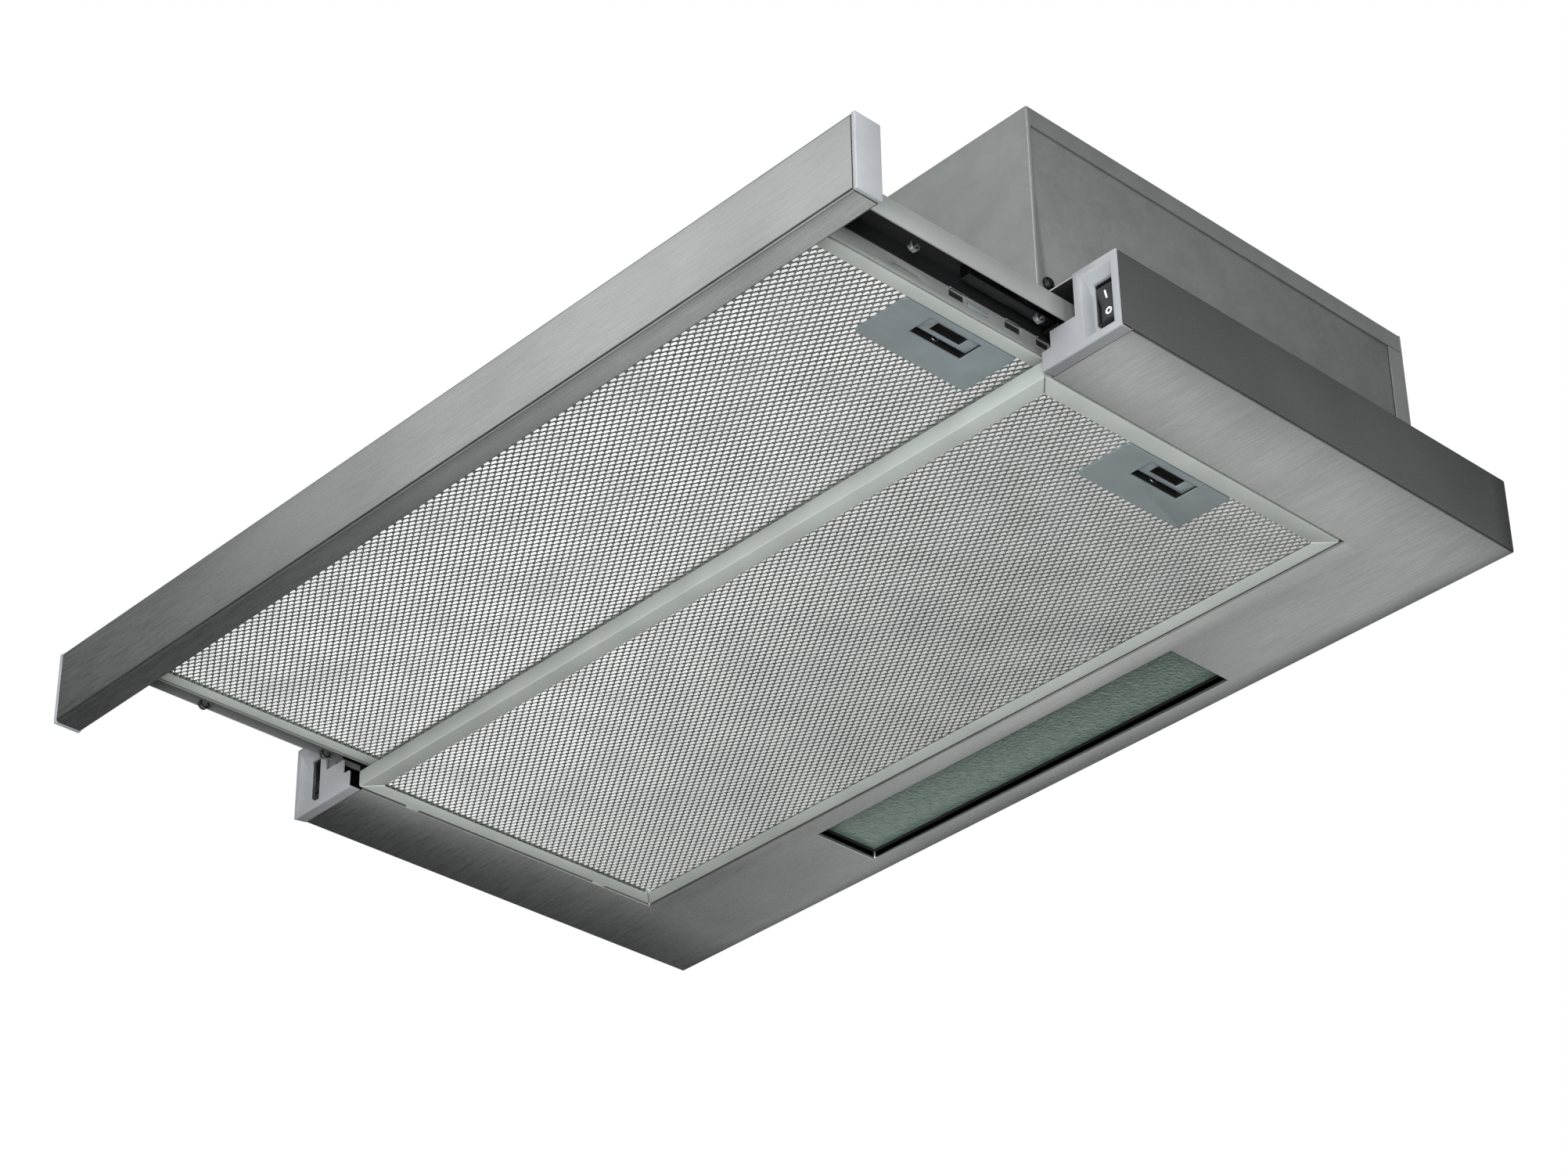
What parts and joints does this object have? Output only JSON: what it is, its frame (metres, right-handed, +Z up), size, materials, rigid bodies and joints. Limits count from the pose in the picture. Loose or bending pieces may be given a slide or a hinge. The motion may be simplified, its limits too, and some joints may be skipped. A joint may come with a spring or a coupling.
{
  "type": "under cabinet range hood",
  "caption": "Slide-out range hood for a wall cabinet: stainless tray, drawn-out visor, mesh grease filters, fan in a box above with a round duct collar.",
  "frame": {"origin": "on the wall plane, midway across the hood, at the level of the cabinet's underside, which is the top of the tray", "axes": "+X to the hood's right as the cook sees it, +Y into the wall, +Z up; the visor draws out along -Y"},
  "size_m": [0.598, 0.4331, 0.1832],
  "materials": {
    "stainless": "brushed",
    "galvanised": "satin grey coated steel",
    "filter_aluminium": "anodised satin",
    "mesh_aluminium": "bright expanded mesh",
    "cap_plastic": "fine moulded texture",
    "latch_plastic": "moulded",
    "switch_plastic": "glossy black",
    "black_plastic": "matt black",
    "fan_plastic": "dark grey moulded",
    "lens_plastic": "pebbled translucent",
    "lamp_glass": "frosted",
    "reflector_aluminium": "bright rolled",
    "white_plastic": "moulded",
    "zinc_steel": "zinc plated"
  },
  "bodies": {
    "housing": {"canopy_tray": "stainless", "box_shell": "galvanised", "rear_panel": "galvanised", "side_panel_right": "galvanised", "side_panel_left": "galvanised", "box_screw_right": "zinc_steel", "box_screw_left": "zinc_steel", "end_cap_right": "cap_plastic", "end_cap_left": "cap_plastic", "slide_rail_right": "zinc_steel", "slide_rail_left": "zinc_steel", "microswitch_body": "black_plastic", "light_switch_body": "switch_plastic", "speed_switch_body": "switch_plastic", "lamp_frame": "black_plastic", "lamp_lens": "lens_plastic", "lamp_reflector": "reflector_aluminium", "lamp_holder_right": "white_plastic", "lamp_holder_left": "white_plastic", "bulb_right": "lamp_glass", "bulb_left": "lamp_glass", "scroll_half_right": "fan_plastic", "scroll_half_left": "fan_plastic", "fan_motor": "zinc_steel", "motor_bracket": "zinc_steel", "inlet_guard": "zinc_steel", "terminal_box": "white_plastic", "cable_gland": "black_plastic", "capacitor": "white_plastic", "duct_collar": "fan_plastic", "damper_pin": "zinc_steel", "collar_screw_front": "zinc_steel", "collar_screw_back": "zinc_steel"},
    "visor": {"visor_bar": "stainless", "visor_bar_cap_right": "cap_plastic", "visor_bar_cap_left": "cap_plastic", "visor_channel_right": "zinc_steel", "visor_channel_left": "zinc_steel", "channel_screw_right": "zinc_steel", "channel_screw_left": "zinc_steel", "visor_crossbar": "zinc_steel", "visor_filter_frame": "filter_aluminium", "visor_filter_mesh": "mesh_aluminium", "visor_filter_latch_plate": "latch_plastic", "visor_filter_latch_spring": "zinc_steel"},
    "visor_latch": {"visor_filter_latch_slider": "latch_plastic"},
    "main_filter": {"main_filter_frame": "filter_aluminium", "main_filter_mesh": "mesh_aluminium", "main_filter_latch_plate": "latch_plastic", "main_filter_latch_spring": "zinc_steel"},
    "main_latch": {"main_filter_latch_slider": "latch_plastic"},
    "rail_middle_right": {"slide_middle_right": "zinc_steel"},
    "rail_middle_left": {"slide_middle_left": "zinc_steel"},
    "light_rocker": {"light_rocker": "switch_plastic"},
    "speed_knob": {"speed_knob": "switch_plastic"},
    "fan_rotor": {"fan_wheel": "fan_plastic", "motor_shaft": "zinc_steel"},
    "damper_front": {"damper_flap_front": "fan_plastic"},
    "damper_back": {"damper_flap_back": "fan_plastic"},
    "microswitch_plunger": {"microswitch_plunger": "white_plastic"}
  },
  "joints": [
    {"name": "visor_slide", "type": "slide", "parent": "housing", "child": "visor", "axis": [0, -1, 0], "range_m": [-0.1394, 0]},
    {"name": "rail_middle_right_slide", "type": "slide", "parent": "housing", "child": "rail_middle_right", "axis": [0, -1, 0], "range_m": [-0.0697, 0]},
    {"name": "rail_middle_left_slide", "type": "slide", "parent": "housing", "child": "rail_middle_left", "axis": [0, -1, 0], "range_m": [-0.0697, 0]},
    {"name": "visor_latch_slide", "type": "slide", "parent": "visor", "child": "visor_latch", "axis": [-1, 0, 0], "range_m": [0, 0.0035], "stiffness_N_per_m": 400, "springref_m": -0.004, "deforming": ["visor_filter_latch_spring"]},
    {"name": "main_filter_swing", "type": "hinge", "parent": "housing", "child": "main_filter", "pos_m": [-0.2494, -0.17165, -0.0408], "axis": [0, 1, 0], "range_deg": [0, 85]},
    {"name": "main_latch_slide", "type": "slide", "parent": "main_filter", "child": "main_latch", "axis": [-1, 0, 0], "range_m": [0, 0.0035], "stiffness_N_per_m": 400, "springref_m": -0.004, "deforming": ["main_filter_latch_spring"]},
    {"name": "light_rocker_tilt", "type": "hinge", "parent": "housing", "child": "light_rocker", "pos_m": [0.2866, -0.2675, -0.0194], "axis": [-1, 0, 0], "range_deg": [0, 18]},
    {"name": "speed_knob_slide", "type": "slide", "parent": "housing", "child": "speed_knob", "axis": [0, 0, 1], "range_m": [0, 0.0124]},
    {"name": "fan_spin", "type": "hinge", "parent": "housing", "child": "fan_rotor", "pos_m": [0, -0.12218, 0.0548], "axis": [1, 0, 0], "continuous": true},
    {"name": "damper_front_lift", "type": "hinge", "parent": "housing", "child": "damper_front", "pos_m": [0, -0.139, 0.1219], "axis": [-1, 0, 0], "range_deg": [0, 75]},
    {"name": "damper_back_lift", "type": "hinge", "parent": "housing", "child": "damper_back", "pos_m": [0, -0.139, 0.1219], "axis": [1, 0, 0], "range_deg": [0, 75]},
    {"name": "microswitch_press", "type": "slide", "parent": "housing", "child": "microswitch_plunger", "axis": [0, 1, 0], "range_m": [0, 0.002], "stiffness_N_per_m": 300, "springref_m": -0.003}
  ],
  "couplings": [
    {"joint": "rail_middle_right_slide", "follows": "visor_slide", "ratio": 0.5},
    {"joint": "rail_middle_left_slide", "follows": "visor_slide", "ratio": 0.5}
  ]
}
